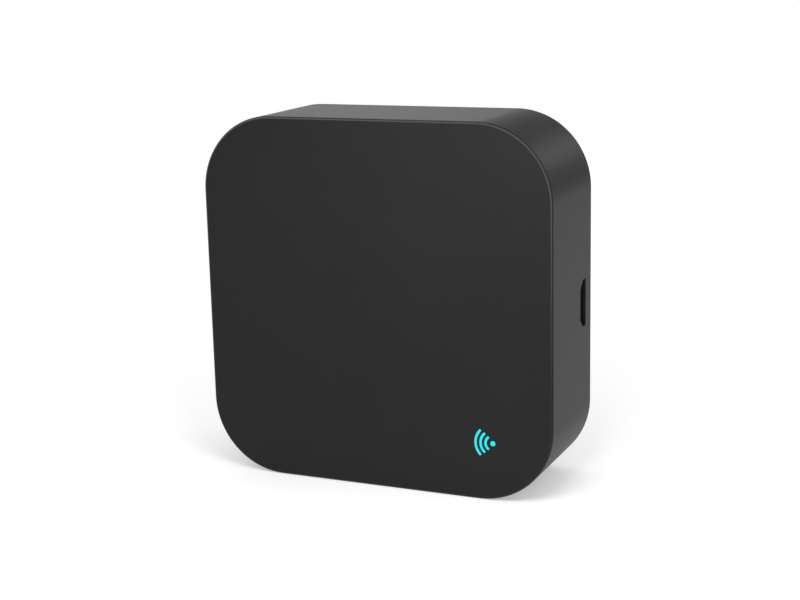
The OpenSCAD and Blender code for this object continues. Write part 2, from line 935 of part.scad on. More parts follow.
front_shell();
light_pipe();
light_baffle();
back_cover();
rubber_foot_1();
rubber_foot_2();
rubber_foot_3();
rubber_foot_4();
reset_button();
switch_plunger();
switch_cover();
switch_dome();
switch_base();
main_board();
board_screws();
solder_joints();
test_pads();
ir_led_1();
ir_led_2();
ir_led_3();
ir_led_4();
ir_led_5();
ir_led_6();
ir_led_7();
ir_led_leads();
ir_receiver();
ir_receiver_leads();
status_led();
wifi_board();
wifi_shield();
wifi_antenna();
wifi_joints();
usb_shell();
usb_tongue();
usb_contacts();
regulator();
regulator_leads();
capacitor_can();
capacitor_base();
diode();
diode_leads();
fuse();
transistors();
transistor_leads();
chip_resistors();
chip_capacitors();
chip_terminals();
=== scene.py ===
# %% [markdown]
# # A smart infrared blaster, dressed for its portrait
# The object is a small square box that stands upright on a shelf and sends infrared
# commands round a room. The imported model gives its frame: every node is already in place,
# in metres, with X to the right, Y to the back and Z up. This script gives each visible
# piece its finished surface, and each piece its finish, and it moves nothing.

# %% Frame
import json

import bpy
import numpy as np
from mathutils import Matrix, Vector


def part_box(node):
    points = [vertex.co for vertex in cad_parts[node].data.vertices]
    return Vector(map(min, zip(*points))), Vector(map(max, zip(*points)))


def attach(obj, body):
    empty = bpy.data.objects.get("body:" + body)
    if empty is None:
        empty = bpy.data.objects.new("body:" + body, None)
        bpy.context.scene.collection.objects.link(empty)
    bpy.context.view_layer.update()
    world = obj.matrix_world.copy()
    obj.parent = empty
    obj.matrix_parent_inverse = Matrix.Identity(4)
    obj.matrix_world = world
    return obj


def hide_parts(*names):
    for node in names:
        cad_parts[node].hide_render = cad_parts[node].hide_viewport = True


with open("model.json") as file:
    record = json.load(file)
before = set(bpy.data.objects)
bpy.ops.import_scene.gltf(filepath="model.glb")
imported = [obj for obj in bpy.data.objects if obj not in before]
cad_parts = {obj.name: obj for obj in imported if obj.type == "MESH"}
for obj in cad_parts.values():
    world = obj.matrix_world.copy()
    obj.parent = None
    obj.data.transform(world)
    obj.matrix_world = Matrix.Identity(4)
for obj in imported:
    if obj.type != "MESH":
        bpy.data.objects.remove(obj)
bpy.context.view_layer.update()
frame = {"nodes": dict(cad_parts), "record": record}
nodes = frame["nodes"]
MM = 0.001
CASE = "case"
KEY = "reset_key"

# %% [markdown]
# ## Camera
# The portrait was taken from a little to the right and a little above, with a longish
# lens. Azimuth turns the camera round the box, elevation lifts it and roll tips the
# picture. The three axes of the camera are worked out as vectors and become the columns
# of its matrix, which says the same thing as three rotations but is easier to check.

# %% Camera
AZIMUTH = np.radians(24.003)
ELEVATION = np.radians(12.942)
ROLL = np.radians(-1.336)
DISTANCE = 283.24 * MM
AIM = np.array([0.307, -0.4, 31.936]) * MM
SENSOR = 36.0
LENS = 70.218

sin_a, cos_a = np.sin(AZIMUTH), np.cos(AZIMUTH)
sin_e, cos_e = np.sin(ELEVATION), np.cos(ELEVATION)
back = np.array([sin_a * cos_e, -cos_a * cos_e, sin_e])
level = np.array([cos_a, sin_a, 0.0])
upright = np.cross(back, level)
right = np.cos(ROLL) * level + np.sin(ROLL) * upright
up = np.cross(back, right)
eye = AIM + DISTANCE * back

camera_data = bpy.data.cameras.new("portrait_camera")
camera_data.lens = LENS
camera_data.sensor_width = SENSOR
camera_data.clip_start = 0.01
camera = bpy.data.objects.new("portrait_camera", camera_data)
pose = np.eye(4)
pose[:3, :3] = np.stack([right, up, back], axis=1)
pose[:3, 3] = eye
camera.matrix_world = Matrix(pose.tolist())
bpy.context.scene.collection.objects.link(camera)
bpy.context.scene.camera = camera
print("camera at", np.round(eye / MM, 1), "mm")

# %% [markdown]
# ## Surfaces from rings of points
# Every moulded or pressed form here is a skin over rings of points: one ring is the
# outline at one step of a profile. `skin` joins neighbouring rings with quads and closes
# the two ends with a flat face, or joins the last ring to the first where the profile
# itself is closed. Rings run anticlockwise seen from the front, and the profile runs
# from the front of the piece outwards and back, so all faces point outwards.

# %% Skin over rings
def skin(rings, loop=False):
    """Vertices and faces of a surface whose point (i, j) is rings[i][j]; j always closes
    on itself, and i closes on itself when loop is true, else both ends get a flat face."""
    rings = np.asarray(rings, float)
    steps, around, _ = rings.shape
    index = np.arange(steps * around).reshape(steps, around)
    here = index if loop else index[:-1]
    there = np.roll(index, -1, axis=0) if loop else index[1:]
    turn = lambda a: np.roll(a, -1, axis=1)
    quads = np.stack([here, there, turn(there), turn(here)], axis=-1).reshape(-1, 4)
    faces = quads.tolist()
    if not loop:
        faces += [index[0].tolist(), index[-1][::-1].tolist()]
    return rings.reshape(-1, 3), faces


def join(*surfaces):
    """One pair of vertices and faces from several, each with its numbers moved up."""
    points, faces, start = [], [], 0
    for verts, polys in surfaces:
        points.append(verts)
        faces += [[i + start for i in poly] for poly in polys]
        start += len(verts)
    return np.concatenate(points), faces


SMOOTH = np.radians(33)


def piece(name, surface, finish=None):
    """Mesh object at the origin, in metres, smooth except where two faces meet sharply."""
    verts, faces = surface
    mesh = bpy.data.meshes.new(name)
    mesh.from_pydata((verts * MM).tolist(), [], faces)
    mesh.validate()
    mesh.shade_smooth()
    mesh.set_sharp_from_angle(angle=SMOOTH)
    made = bpy.data.objects.new(name, mesh)
    bpy.context.scene.collection.objects.link(made)
    if finish:
        mesh.materials.append(finish)
    return made


print("faces are smooth up to", round(np.degrees(SMOOTH)), "degrees")

# %% [markdown]
# ## Profiles and outlines
# A moulding has no sharp edges, only small radii. `rounded` turns each corner of a
# polygon into an arc, for outlines such as the power slot, and `section` does it for the
# chosen corners of a section. On either side of each arc of a section sits one more
# point, very near, that keeps the flat face next to it truly flat in the shading.

# %% Rounded outlines
KEEP = 0.06


def rounded(corners, radius, steps=6):
    """Each corner p gives way to an arc of the given radius: its centre lies on the
    corner's bisector, radius / sin(half angle) away, and the arc turns from one tangent
    point to the other by spherical interpolation. Returns all points as one array."""
    p = np.asarray(corners, float)
    radius = np.broadcast_to(np.asarray(radius, float), len(p))[:, None]
    a = np.roll(p, 1, axis=0) - p
    b = np.roll(p, -1, axis=0) - p
    a /= np.linalg.norm(a, axis=1, keepdims=True)
    b /= np.linalg.norm(b, axis=1, keepdims=True)
    half = np.arccos(np.clip((a * b).sum(1, keepdims=True), -1, 1)) / 2
    reach = radius / np.tan(half)
    bisector = (a + b) / np.linalg.norm(a + b, axis=1, keepdims=True)
    centre = p + bisector * radius / np.sin(half)
    u, v = p + a * reach - centre, p + b * reach - centre
    bend = (np.pi - 2 * half)[:, :, None]
    w = np.linspace(0, 1, steps + 1)[None, :, None]
    arc = (np.sin((1 - w) * bend) * u[:, None] + np.sin(w * bend) * v[:, None]) / np.sin(bend)
    return (centre[:, None] + arc).reshape(-1, 2)


def section(points, radii, steps=8):
    """Open section through the points, where each inner point with a radius becomes an
    arc with one holding point on either side, and one without stays a sharp corner."""
    p = np.asarray(points, float)
    out = [p[:1]]
    for k in range(1, len(p) - 1):
        if radii[k - 1] == 0:
            out.append(p[k:k + 1])
            continue
        arc = rounded(p[k - 1:k + 2], radii[k - 1], steps).reshape(3, -1, 2)[1]
        before = p[k - 1] - arc[0]
        after = p[k + 1] - arc[-1]
        first = arc[0] + before / np.linalg.norm(before) * KEEP
        last = arc[-1] + after / np.linalg.norm(after) * KEEP
        out += [first[None], arc, last[None]]
    out.append(p[-1:])
    return np.concatenate(out)


print("arcs keep a point", KEEP, "mm away on either side")

# %% [markdown]
# ### Carrying a section along
# `sweep` carries a section round a square with round corners, or round one centre, which
# makes a turned piece. `prism` is a straight block between two depths.

# %% Sweeps and prisms
def ring(half, centre=(0.0, 0.0), turns=16):
    """Corner centres and outward directions round a square with round corners: angles
    0 to 90 degrees for each corner in turn, all measured in the plane of the face."""
    step = np.linspace(0, np.pi / 2, turns + 1)
    angle = (np.arange(4)[:, None] * np.pi / 2 + step).ravel()
    corner = np.repeat([[1, 1], [-1, 1], [-1, -1], [1, -1]], turns + 1, axis=0) * half
    if half == 0:
        angle = np.linspace(0, 2 * np.pi, 4 * turns, endpoint=False)
        corner = np.zeros((4 * turns, 2))
    return corner + centre, np.stack([np.cos(angle), np.sin(angle)], axis=1)


def sweep(profile, half, centre=(0.0, 0.0), turns=16, loop=False):
    """Point (i, j) is corner_j + offset_i * direction_j in the plane of the face, at the
    profile's own depth_i: a section carried round the path."""
    corner, out = ring(half, centre, turns)
    profile = np.asarray(profile, float)
    flat = corner[None] + profile[:, 0, None, None] * out[None]
    depth = np.broadcast_to(profile[:, 1, None], flat.shape[:2])
    return skin(np.stack([flat[..., 0], depth, flat[..., 1]], axis=-1), loop)


def prism(outline, front, back_at):
    """Straight block: the outline at two depths, closed with flat ends."""
    outline = np.asarray(outline, float)
    depth = np.array([front, back_at], float)[:, None]
    flat = np.broadcast_to(outline[None], (2,) + outline.shape)
    return skin(np.stack([flat[..., 0], np.broadcast_to(depth, flat.shape[:2]), flat[..., 1]], -1))


print("sweeps and prisms ready")

# %% [markdown]
# ## Levels
# Depths run along Y, measured from the plane of the face backwards. The outer levels
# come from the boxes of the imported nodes, in millimetres, and the thicknesses and radii
# of the moulding are named here once.

# %% Levels
def span(node):
    """Lowest and highest corner of a node, in millimetres."""
    low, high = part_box(node)
    return np.array(low) / MM, np.array(high) / MM


shell_low, shell_high = span("front_shell")
cover_high = span("back_cover")[1]
FACE = shell_low[1]
BACK = shell_high[1]
HALF = shell_high[0]
MID_Z = (shell_low[2] + shell_high[2]) / 2
CORNER = 13.6
WALL = 2.2
FRONT_WALL = 2.0
FACE_EDGE = 0.5
BACK_EDGE = 0.55
RIM = 1.2
REBATE = 2.0
INSIDE_R = 0.8
side = HALF - CORNER
middle = (0.0, MID_Z)
print("shell from", FACE, "to", BACK, "mm, corner centres at", side)

# %% [markdown]
# ## Finishes
# Moulded plastic is never one flat colour: spark-eroded tool steel leaves a fine grain,
# and tone and gloss wander a little over the part. One helper builds that from two noise
# textures on object coordinates, so that the grain has a real size in millimetres.

# %% Finish helper
def srgb(text):
    """Linear colour of a hexadecimal one: ((c + 0.055) / 1.055) ** 2.4 above 0.04045."""
    c = np.array([int(text[k:k + 2], 16) for k in (1, 3, 5)]) / 255
    return tuple(np.where(c <= 0.04045, c / 12.92, ((c + 0.055) / 1.055) ** 2.4)) + (1.0,)


class Finish:
    """A node material that is wired up by short calls; sockets are given by name."""

    def __init__(self, name):
        self.material = bpy.data.materials.new(name)
        self.material.use_nodes = True
        self.tree = self.material.node_tree
        self.shader = self.tree.nodes["Principled BSDF"]
        self.place = self.add("ShaderNodeTexCoord").outputs["Object"]

    def add(self, kind, **inputs):
        """New node of the kind, with its inputs given by name."""
        node = self.tree.nodes.new(kind)
        for key, value in inputs.items():
            self.feed(node.inputs[key.replace("_", " ")], value)
        return node

    def feed(self, socket, value):
        """Links a socket into an input, or sets the input to a plain value."""
        if isinstance(value, bpy.types.NodeSocket):
            self.tree.links.new(value, socket)
        else:
            socket.default_value = value

    def set(self, **inputs):
        """Feeds the inputs of the surface shader by name."""
        for key, value in inputs.items():
            self.feed(self.shader.inputs[key.replace("_", " ")], value)
        return self

    def noise(self, size, detail=2.0, stretch=(1, 1, 1), place=None):
        """Noise whose blobs are about size millimetres across, stretched per axis."""
        mapping = self.add("ShaderNodeMapping", Vector=place or self.place)
        mapping.inputs["Scale"].default_value = [s / (size * MM) for s in stretch]
        node = self.add("ShaderNodeTexNoise", Vector=mapping.outputs[0], Detail=detail)
        node.inputs["Scale"].default_value = 1.0
        return node.outputs[0]

    def between(self, value, low, high, start=0.3, end=0.7):
        """Linear map of a texture's value from start..end to low..high."""
        node = self.add("ShaderNodeMapRange", Value=value)
        for key, number in zip(("From Min", "From Max", "To Min", "To Max"),
                               (start, end, low, high)):
            node.inputs[key].default_value = number
        return node.outputs[0]

    def mix(self, share, first, second):
        """Colour (1 - share) * first + share * second."""
        node = self.tree.nodes.new("ShaderNodeMix")
        node.data_type = "RGBA"
        for key, value in zip((0, 6, 7), (share, first, second)):
            self.feed(node.inputs[key], value)
        return node.outputs[2]

    def bump(self, height, depth, strength=1.0):
        """Tilts the surface as if the texture were relief of the given depth in mm."""
        node = self.add("ShaderNodeBump", Height=height, Strength=strength)
        node.inputs["Distance"].default_value = depth * MM
        return node.outputs["Normal"]


print("finish helper ready")

# %% [markdown]
# ### Moulded and plated finishes
# `moulded` is the finish that most pieces share. The stretch of its textures turns a fine
# grain into a drawn one.

# %% Finishes of the visible pieces
def moulded(name, dark, light, rough, grain=0.2, relief=0.003, cloud=9.0, spread=0.04,
            stretch=(1, 1, 1), **inputs):
    """Two tones mixed by wide soft clouds, roughness that follows them, and a fine grain."""
    made = Finish(name)
    clouds = made.noise(cloud, 3.0, stretch)
    fine = made.noise(grain, 2.0, stretch)
    tone = made.mix(made.between(clouds, 0, 1), srgb(dark), srgb(light))
    made.set(Base_Color=tone, Normal=made.bump(fine, relief),
             Roughness=made.between(fine, rough - spread, rough + spread), **inputs)
    return made.material


cover_plastic = moulded("cover_plastic", "#1e1e20", "#232325", 0.6, grain=0.3,
                        relief=0.012, Specular_IOR_Level=0.25)
foot_rubber = moulded("foot_rubber", "#151516", "#1c1c1e", 0.75, grain=0.25, relief=0.01,
                      Specular_IOR_Level=0.3)
button_plastic = moulded("button_plastic", "#262628", "#2c2c2f", 0.42, grain=0.15,
                         Specular_IOR_Level=0.3)
socket_steel = moulded("socket_steel", "#8f9296", "#a9acb0", 0.3, grain=0.08, relief=0.002,
                       cloud=1.5, stretch=(0.1, 1, 1), Metallic=1.0)
socket_plastic = moulded("socket_plastic", "#0e0e0f", "#151517", 0.45, cloud=1.0)
gold_plate = moulded("gold_plate", "#c79a36", "#dcb452", 0.26, grain=0.06, relief=0.001,
                     cloud=0.8, Metallic=1.0)
print("finishes:", len(bpy.data.materials))

# %% [markdown]
# ### The shell's plastic
# The shell has a satin texture, but the texture of the tool stops at the edge of the
# face, so that the small radius there is polished and catches a thin line of light. The
# finish finds that band by its depth behind the face. It fades downwards, because the
# line of light is seen on the upper part of the edge only.

# %% Satin with a polished edge
BAND_STARTS, BAND_FULL, BAND_ENDS, BAND_GONE = 0.01, 0.03, 0.09, 0.16
FADE_LOW, FADE_HIGH, FADE_LEAST = 20, 56, 0.1
SATIN_ROUGH = (0.43, 0.47)
POLISHED_ROUGH = 0.11
SATIN_GLOSS, POLISHED_GLOSS = 0.15, 1.0

satin = Finish("shell_plastic")
axes = satin.add("ShaderNodeSeparateXYZ", Vector=satin.place).outputs
band = satin.between(axes["Y"], 0, 1, (FACE + BAND_STARTS) * MM, (FACE + BAND_FULL) * MM)
for share in (satin.between(axes["Y"], 1, 0, (FACE + BAND_ENDS) * MM, (FACE + BAND_GONE) * MM),
              satin.between(axes["Z"], FADE_LEAST, 1, FADE_LOW * MM, FADE_HIGH * MM)):
    product = satin.add("ShaderNodeMath")
    product.operation = "MULTIPLY"
    satin.feed(product.inputs[0], band)
    satin.feed(product.inputs[1], share)
    band = product.outputs[0]
satin_grain = satin.noise(0.2)
edge_gloss = satin.add("ShaderNodeMix", Factor=band, B=POLISHED_ROUGH)
satin.feed(edge_gloss.inputs["A"], satin.between(satin_grain, *SATIN_ROUGH))
satin.set(Base_Color=satin.mix(satin.between(satin.noise(14.0, 3.0), 0, 1),
                               srgb("#1d1d1d"), srgb("#1f1f1f")),
          Roughness=edge_gloss.outputs[0], Normal=satin.bump(satin_grain, 0.003),
          Specular_IOR_Level=satin.between(band, SATIN_GLOSS, POLISHED_GLOSS, 0, 1))
shell_plastic = satin.material
print("the polished band runs", BAND_STARTS, "to", BAND_GONE, "mm behind the face")

# %% [markdown]
# ### Lit acrylic
# The symbol is a clear acrylic light pipe, lit from behind by one small emitter. Its
# strokes glow almost evenly, with a faint cloudiness of two close tones. The light that
# falls on them adds a little to the colour that they give off.

# %% Lit acrylic
lit = Finish("lit_acrylic")
flow = lit.between(lit.noise(0.8), 0, 1)
lit.set(Base_Color=srgb("#045052"), Roughness=0.35, Emission_Strength=1.0,
        Emission_Color=lit.mix(flow, srgb("#0ad6e0"), srgb("#18e0e6")),
        Normal=lit.bump(lit.noise(0.15), 0.002))
lit_acrylic = lit.material
print("finish:", lit_acrylic.name)

# %% [markdown]
# ## The shell
# The front shell is one moulding: face, four walls and, at the back, a thin rim round
# the seat of the cover. Its section is carried round the square in one sweep. Bosses,
# ribs and the frame of the light pipe are then joined on, and the symbol, the power slot
# and the pockets of the snap hooks are cut out, as cores in the mould would do it.

# %% Shell body
def at(depth):
    """Y of a depth behind the face."""
    return FACE + depth


shell_section = section(
    [(CORNER - 1.4, at(0)), (CORNER, at(0)), (CORNER, BACK), (CORNER - RIM, BACK),
     (CORNER - RIM, BACK - REBATE), (CORNER - WALL, BACK - REBATE),
     (CORNER - WALL, at(FRONT_WALL)), (CORNER - WALL - 2, at(FRONT_WALL))],
    [FACE_EDGE, BACK_EDGE, 0.12, 0.1, 0.12, INSIDE_R])
shell = piece("shell_moulding", sweep(shell_section, side, middle, turns=24), shell_plastic)
print("shell section has", len(shell_section), "points")

# %% [markdown]
# ### The strokes of the symbol
# The symbol is a dot with three arcs to its left. Each stroke is an outline with round
# ends, and a stroke in the round is that outline stacked at several depths. The same
# function makes the cut in the face, a hair wider, and later the clear strokes in it.

# %% Symbol strokes
pipe_low, pipe_high = span("light_pipe")
pipe_centre = ((pipe_low[0] + pipe_high[0]) / 2, (pipe_low[2] + pipe_high[2]) / 2)
DOT_SHIFT = 1.5
DOT_R = 0.46
ARC_R, ARC_STEP, STROKE = 1.36, 0.92, 0.43
ARC_HALF, ARC_HALF_STEP = 49.0, 3.5
GAP = 0.03
dot = (pipe_centre[0] + DOT_SHIFT, pipe_centre[1])


def stroke(radius, width, half, steps=28, tip=10):
    """Outline of an arc with round ends round the dot, open to the left: the outer edge
    at radius + width / 2, a half circle, the inner edge back, and a half circle."""
    sweep_angle = np.linspace(-half, half, steps)
    turn = np.linspace(0, np.pi, tip + 2)[1:-1]

    def polar(r, a):
        return np.stack([r * np.cos(a), r * np.sin(a)], axis=1)

    def tip_at(angle, start):
        centre = polar(np.array([radius]), np.array([angle]))
        return centre + polar(np.full(tip, width / 2), start + turn)

    outer = polar(radius + width / 2, sweep_angle)
    inner = polar(radius - width / 2, sweep_angle[::-1])
    outline = np.concatenate([outer, tip_at(half, half), inner, tip_at(-half, np.pi - half)])
    return dot - outline


def disc(radius, steps=40):
    """Circle of the dot: dot + radius * (cos a, sin a)."""
    angle = np.linspace(0, 2 * np.pi, steps, endpoint=False)
    return dot + radius * np.stack([np.cos(angle), np.sin(angle)], axis=1)


def stack(outline, levels):
    """Skin over outline(grow) at each (grow, depth) of levels."""
    rings = []
    for grow, depth in levels:
        flat = outline(grow)
        rings.append(np.stack([flat[:, 0], np.full(len(flat), depth), flat[:, 1]], axis=1))
    return skin(rings)


def symbol(levels):
    """The dot and three arcs, each as a stack of its outline at the given levels."""
    shapes = [stack(lambda grow: disc(DOT_R + grow), levels)]
    for k in range(3):
        radius, half = ARC_R + k * ARC_STEP, np.radians(ARC_HALF - k * ARC_HALF_STEP)
        shapes.append(stack(lambda grow, r=radius, h=half: stroke(r, STROKE + 2 * grow, h),
                            levels))
    return join(*shapes)


symbol_cut = symbol([(GAP + 0.05, at(-0.5)), (GAP + 0.05, at(0)), (GAP, at(0.05)),
                     (GAP, at(FRONT_WALL + 0.5))])
print("symbol round", np.round(dot, 2))

# %% [markdown]
# ### The power slot
# The slot in the right wall is a flat hexagon: two corners are cut so that the plug fits
# one way only. The cutter flares by a hair at the outside, which leaves the small lead-in
# that a moulded opening has. The pockets of the snap hooks are cut with it.

# %% Slot and pockets
SLOT_H, SLOT_CHAMFER = 8.4, 1.5
BOARD_FRONT, BOARD_BACK = span("main_board")[0][1], span("main_board")[1][1]
SLOT_FRONT, SLOT_BACK = BOARD_BACK - 0.15, BOARD_BACK + 2.85
LIP = 0.14
socket_low, socket_high = span("usb_shell")
SOCKET_Z = (socket_low[2] + socket_high[2]) / 2


def slot_outline(grow, tall, front, rear, chamfer, radius=0.12):
    """Hexagon in (z, y) with every side moved outwards by grow."""
    h, c = tall / 2 + grow, chamfer + grow * (2 - np.sqrt(2))
    f, r = front - grow, rear + grow
    corners = [(c - h, f), (h - c, f), (h, f + c), (h, r), (-h, r), (-h, f + c)]
    return rounded(corners, radius, 4) + (SOCKET_Z, 0)


def along_x(outline, levels):
    """Skin over outline(grow) at each (grow, x): the outline's two axes are z and y."""
    rings = []
    for grow, x in levels:
        flat = outline(grow)
        rings.append(np.stack([np.full(len(flat), x), flat[:, 1], flat[:, 0]], axis=1))
    return skin(rings)


quarter = np.linspace(0, np.pi / 2, 5)
lip = [(LIP * (1 - np.cos(t)), HALF - LIP + LIP * np.sin(t)) for t in quarter]
slot_cut = along_x(
    lambda grow: slot_outline(grow, SLOT_H, SLOT_FRONT, SLOT_BACK, SLOT_CHAMFER),
    [(0, HALF - WALL - 0.5)] + lip + [(LIP, HALF + 0.5)])

HOOK_AT, HOOK_W = 14.0, 5.0
POCKET_W, POCKET_DEEP = HOOK_W + 0.8, 0.8
POCKET_FRONT, POCKET_BACK = at(16.8), at(18.35)


def quarter_turns(surface, count=4):
    """The surface and its copies turned about the middle of the face: (x, z) -> (-z, x)
    for each quarter turn."""
    verts, faces = surface
    shapes = []
    for k in range(count):
        x, z = verts[:, 0], verts[:, 2] - MID_Z
        c, s = np.cos(k * np.pi / 2), np.sin(k * np.pi / 2)
        turned = np.stack([x * c - z * s, verts[:, 1], x * s + z * c + MID_Z], axis=1)
        shapes.append((turned, faces))
    return join(*shapes)


def box(x0, x1, y0, y1, z0, z1, radius=0.15):
    """Block with its upright corners rounded, as a prism along Y."""
    outline = rounded([(x0, z0), (x1, z0), (x1, z1), (x0, z1)], radius, 3)
    return prism(outline, y0, y1)


pockets = join(*[quarter_turns(box(HALF - WALL - 1, HALF - WALL + POCKET_DEEP, POCKET_FRONT,
                                   POCKET_BACK, MID_Z + s * HOOK_AT - POCKET_W / 2,
                                   MID_Z + s * HOOK_AT + POCKET_W / 2)) for s in (-1, 1)])
print("cuts:", len(symbol_cut[1]) + len(slot_cut[1]) + len(pockets[1]), "faces")

# %% [markdown]
# ### Cutting and joining
# A Boolean modifier with the exact solver joins the features to the shell and takes the
# cuts out of it. It is applied at once, so that the finished mesh is plain, and the
# helper object goes away with it.

# %% Boolean helper
def carve(target, surface, operation):
    """Applies one Boolean of the surface to the target's mesh and marks its edges again."""
    tool = piece("carving_tool", surface)
    modifier = target.modifiers.new("carve", "BOOLEAN")
    modifier.operation = operation
    modifier.solver = "EXACT"
    modifier.object = tool
    graph = bpy.context.evaluated_depsgraph_get()
    carved = bpy.data.meshes.new_from_object(target.evaluated_get(graph))
    target.modifiers.clear()
    old = target.data
    name = old.name
    target.data = carved
    bpy.data.meshes.remove(old)
    carved.name = name
    carved.shade_smooth()
    carved.set_sharp_from_angle(angle=SMOOTH)
    spare = tool.data
    bpy.data.objects.remove(tool)
    bpy.data.meshes.remove(spare)


def settle(target):
    """Large flat faces pull the shared normals flat, so that no crease shows beside a lip."""
    modifier = target.modifiers.new("settled_normals", "WEIGHTED_NORMAL")
    modifier.keep_sharp = True
    modifier.weight = 100


def lathe(points, radii, centre, turns=16):
    """A section turned round an axis that runs to the back through (x, z) = centre."""
    return sweep(section(points, radii), 0, centre, turns)


print("carving tools ready")

# %% [markdown]
# ### Inside the shell
# Four bosses take the screws of the board, pairs of ribs centre it, and a low frame holds
# the light pipe. None of it shows from outside and the photograph can't confirm it, but the
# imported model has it, and the piece stays whole when it is taken apart.

# %% Shell features
SCREW_X, SCREW_Z = 12.5, 22.0
BOSS_R, BOSS_BORE = 3.0, 0.97
BORE_DEEP, BORE_PAST = 7.4, 0.65
RIB_X, RIB_W, RIB_START = 8.0, 2.0, 30.15
FRAME_W, FRAME_IN, FRAME_H = 4.2, 3.53, 1.2
sunk = at(FRONT_WALL - 0.5)
corners_of_board = [(sx * SCREW_X, MID_Z + sz * SCREW_Z) for sx in (-1, 1) for sz in (-1, 1)]


def square(half, centre, radius):
    """Outline of a square with round corners; half is half its width."""
    x, z = centre
    return rounded([(x - half, z - half), (x + half, z - half), (x + half, z + half),
                    (x - half, z + half)], radius, 4)


bosses = [lathe([(0.4, sunk), (BOSS_R, sunk), (BOSS_R, BOARD_FRONT), (1.2, BOARD_FRONT)],
                [0, 0.2], c) for c in corners_of_board]
ribs = [quarter_turns(box(RIB_START, HALF - WALL + 0.4, sunk, BOARD_BACK - 0.2,
                          MID_Z + s * RIB_X - RIB_W / 2, MID_Z + s * RIB_X + RIB_W / 2))
        for s in (-1, 1)]
pipe_frame = prism(square(FRAME_W, pipe_centre, 0.5), sunk, at(FRONT_WALL + FRAME_H))
carve(shell, join(*bosses, *ribs, pipe_frame), "UNION")

bore_end, bore_mouth = BOARD_FRONT - BORE_DEEP, BOARD_FRONT + BORE_PAST
bores = [lathe([(0.2, bore_end), (BOSS_BORE, bore_end), (BOSS_BORE, bore_mouth),
                (0.2, bore_mouth)], [0, 0], c, 8) for c in corners_of_board]
pipe_seat = prism(square(FRAME_IN, pipe_centre, 0.2), at(FRONT_WALL), at(FRONT_WALL + 2))
carve(shell, join(symbol_cut, slot_cut, pockets, *bores, pipe_seat), "DIFFERENCE")
settle(shell)
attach(shell, CASE)
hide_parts("front_shell")
print("shell moulding:", len(shell.data.polygons), "faces")

# %% [markdown]
# ## The lit symbol
# The generic wireless sign is made of clear strokes that stand in the face, flush with
# it. They grow out of one small plate behind the face, and a round guide brings the light
# from the emitter on the board. All three are one moulded piece.

# %% Light pipe
GUIDE_R, GUIDE_END = 1.8, pipe_high[1]
strokes = symbol([(-0.05, at(0)), (-0.015, at(0.015)), (0, at(0.05)), (0, at(FRONT_WALL))])
plate = prism(square(3.5, pipe_centre, 0.2), at(FRONT_WALL), at(FRONT_WALL + FRAME_H))
guide = lathe([(0.3, at(3.2)), (GUIDE_R, at(3.2)), (GUIDE_R, GUIDE_END), (0.3, GUIDE_END)],
              [0, 0.15], pipe_centre)
light_pipe = piece("light_pipe_symbol", join(strokes, plate, guide), lit_acrylic)
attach(light_pipe, CASE)
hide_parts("light_pipe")
print("symbol:", len(light_pipe.data.polygons), "faces")

# %% [markdown]
# ## The back cover
# The cover is a plate with round edges that snaps into the rim. It carries four feet in
# shallow seats, a bare recess where a label would go, and the hole of the reset button.

# %% Cover plate
COVER_FRONT, COVER_BACK = BACK - REBATE, cover_high[1]
COVER_R = CORNER - RIM - 0.12
BUTTON_R, BUTTON_GAP = 2.5, 0.08
button_low, button_high = span("reset_button")
button_at = (0.0, (button_low[2] + button_high[2]) / 2)
feet_at = {}
for k in range(1, 5):
    low, high = span(f"rubber_foot_{k}")
    feet_at[f"rubber_foot_{k}"] = ((low[0] + high[0]) / 2, (low[2] + high[2]) / 2)
FOOT_R = 4.0

cover_section = section([(COVER_R - 1, COVER_FRONT), (COVER_R, COVER_FRONT),
                         (COVER_R, COVER_BACK), (COVER_R - 1, COVER_BACK)], [0.12, 0.3])
cover = piece("cover_moulding", sweep(cover_section, side, middle, turns=24), cover_plastic)

print("cover plate", round(COVER_BACK - COVER_FRONT, 2), "mm thick")

# %% [markdown]
# ### Inside the cover
# A low skirt stiffens the plate all round and two bars stiffen its middle. Eight hooks
# catch in the pockets of the walls, and a collar holds the button straight. Each of them
# starts inside the plate, so that the join is one body.

# %% Skirt, hooks and collar
IN_PLATE = at(20.5)
SKIRT_R, SKIRT_T, SKIRT_END = 11.2, 1.0, at(19.2)
skirt_section = [(SKIRT_R, SKIRT_END), (SKIRT_R, IN_PLATE), (SKIRT_R - SKIRT_T, IN_PLATE),
                 (SKIRT_R - SKIRT_T, SKIRT_END)]
skirt = sweep(skirt_section, side, middle, turns=12, loop=True)
hook_face = HALF - WALL - 0.25
HOOK_T, HOOK_TIP = 1.2, at(17)
BARB, BARB_FULL, BARB_BACK = 0.75, at(18), at(18.3)
hook_outline = rounded([(hook_face - HOOK_T, IN_PLATE), (hook_face - HOOK_T, HOOK_TIP),
                        (hook_face, HOOK_TIP), (hook_face + BARB, BARB_FULL),
                        (hook_face + BARB, BARB_BACK), (hook_face, BARB_BACK),
                        (hook_face, IN_PLATE)], [0.01, 0.15, 0.15, 0.1, 0.05, 0.05, 0.01], 4)


def hook_pair():
    """Section of a hook in (x, y), carried along z for its width, on all four sides."""
    shapes = []
    for s in (-1, 1):
        ends = MID_Z + s * HOOK_AT + np.array([-HOOK_W / 2, HOOK_W / 2])
        rings = [np.stack([hook_outline[:, 0], hook_outline[:, 1],
                           np.full(len(hook_outline), z)], axis=1) for z in ends[::-1]]
        shapes.append(quarter_turns(skin(rings)))
    return join(*shapes)


